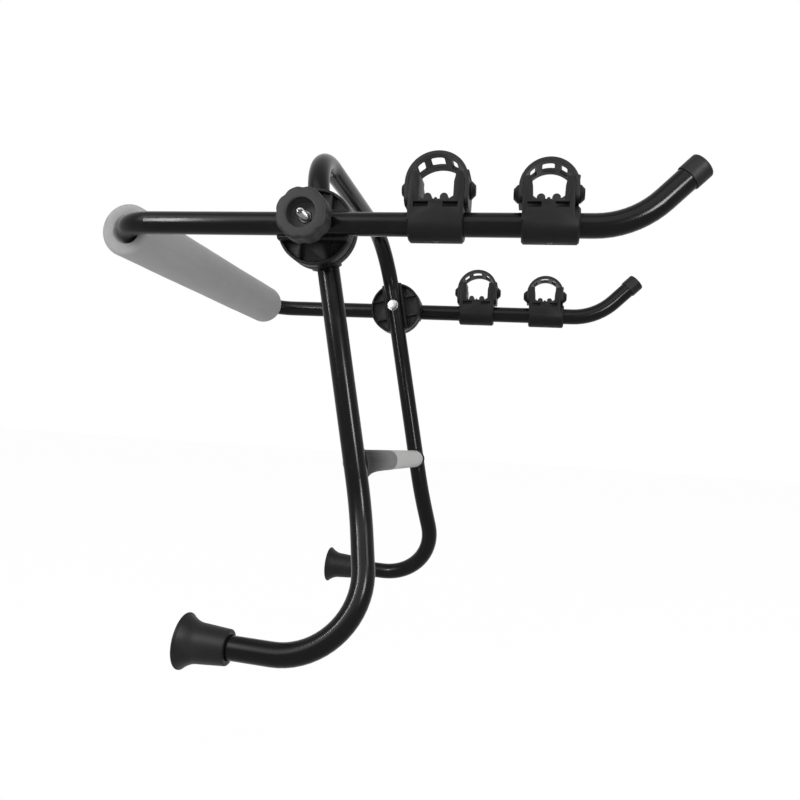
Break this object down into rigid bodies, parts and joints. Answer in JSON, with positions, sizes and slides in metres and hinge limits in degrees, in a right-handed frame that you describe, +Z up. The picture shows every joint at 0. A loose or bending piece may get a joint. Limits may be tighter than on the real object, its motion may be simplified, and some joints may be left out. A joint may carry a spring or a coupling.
{
  "type": "bike carrier",
  "caption": "Rear bicycle carrier: a bent tube arm frame with a foam bar and strapped cradles, pivoted on toothed hubs with hand knobs to a leg frame with a brace and rubber feet.",
  "frame": {"origin": "midway between the two hubs, on the axis that the arm frame turns about", "axes": "+X away from the car along the arms, +Y across the carrier, +Z up"},
  "size_m": [0.6667, 0.5912, 0.5944],
  "materials": {
    "frame_paint": "satin",
    "brace_paint": "satin",
    "moulding": "satin",
    "knob_plastic": "satin",
    "foam": "matte",
    "rubber": "matte",
    "zinc": "satin"
  },
  "bodies": {
    "leg_frame": {"leg_tube": "frame_paint", "leg_brace": "brace_paint", "foot_left": "rubber", "inner_hub_left": "moulding", "hub_bolt_left": "zinc", "bolt_washer_left": "zinc", "foot_right": "rubber", "inner_hub_right": "moulding", "hub_bolt_right": "zinc", "bolt_washer_right": "zinc"},
    "arm_frame": {"arm_tube": "frame_paint", "foam_sleeve": "foam", "cradle_screws": "zinc", "arm_cap_left": "rubber", "outer_hub_left": "moulding", "cradle_base_left_inner": "moulding", "cradle_pad_left_inner": "rubber", "cradle_base_left_outer": "moulding", "cradle_pad_left_outer": "rubber", "arm_cap_right": "rubber", "outer_hub_right": "moulding", "cradle_base_right_inner": "moulding", "cradle_pad_right_inner": "rubber", "cradle_base_right_outer": "moulding", "cradle_pad_right_outer": "rubber"},
    "left_clamp_washer": {"knob_washer_left": "zinc"},
    "left_hand_knob": {"knob_left": "knob_plastic", "knob_nut_left": "zinc"},
    "left_inner_strap": {"cradle_strap_left_inner": "rubber"},
    "left_outer_strap": {"cradle_strap_left_outer": "rubber"},
    "right_clamp_washer": {"knob_washer_right": "zinc"},
    "right_hand_knob": {"knob_right": "knob_plastic", "knob_nut_right": "zinc"},
    "right_inner_strap": {"cradle_strap_right_inner": "rubber"},
    "right_outer_strap": {"cradle_strap_right_outer": "rubber"}
  },
  "joints": [
    {"name": "arm_fold", "type": "hinge", "parent": "leg_frame", "child": "arm_frame", "pos_m": [0, 0, 0], "axis": [0, 1, 0], "range_deg": [-85, 75]},
    {"name": "left_knob_travel", "type": "slide", "parent": "leg_frame", "child": "left_clamp_washer", "axis": [0, -1, 0], "range_m": [0, 0.00626]},
    {"name": "left_knob_turn", "type": "hinge", "parent": "left_clamp_washer", "child": "left_hand_knob", "pos_m": [0, -0.275, 0], "axis": [0, -1, 0], "range_deg": [0, 1800]},
    {"name": "left_inner_strap_lift", "type": "hinge", "parent": "arm_frame", "child": "left_inner_strap", "pos_m": [0.1032, -0.248, 0.036], "axis": [0, -1, 0], "range_deg": [0, 100], "deforming": ["cradle_strap_left_inner"]},
    {"name": "left_outer_strap_lift", "type": "hinge", "parent": "arm_frame", "child": "left_outer_strap", "pos_m": [0.21834, -0.248, 0.03204], "axis": [0, -1, 0], "range_deg": [0, 100], "deforming": ["cradle_strap_left_outer"]},
    {"name": "right_knob_travel", "type": "slide", "parent": "leg_frame", "child": "right_clamp_washer", "axis": [0, 1, 0], "range_m": [0, 0.00626]},
    {"name": "right_knob_turn", "type": "hinge", "parent": "right_clamp_washer", "child": "right_hand_knob", "pos_m": [0, 0.275, 0], "axis": [0, 1, 0], "range_deg": [0, 1800]},
    {"name": "right_inner_strap_lift", "type": "hinge", "parent": "arm_frame", "child": "right_inner_strap", "pos_m": [0.1032, 0.248, 0.036], "axis": [0, -1, 0], "range_deg": [0, 100], "deforming": ["cradle_strap_right_inner"]},
    {"name": "right_outer_strap_lift", "type": "hinge", "parent": "arm_frame", "child": "right_outer_strap", "pos_m": [0.21834, 0.248, 0.03204], "axis": [0, -1, 0], "range_deg": [0, 100], "deforming": ["cradle_strap_right_outer"]}
  ],
  "couplings": [
    {"joint": "left_knob_travel", "follows": "left_knob_turn", "m_per_rad": 0.00019894},
    {"joint": "right_knob_travel", "follows": "right_knob_turn", "m_per_rad": 0.00019894}
  ]
}
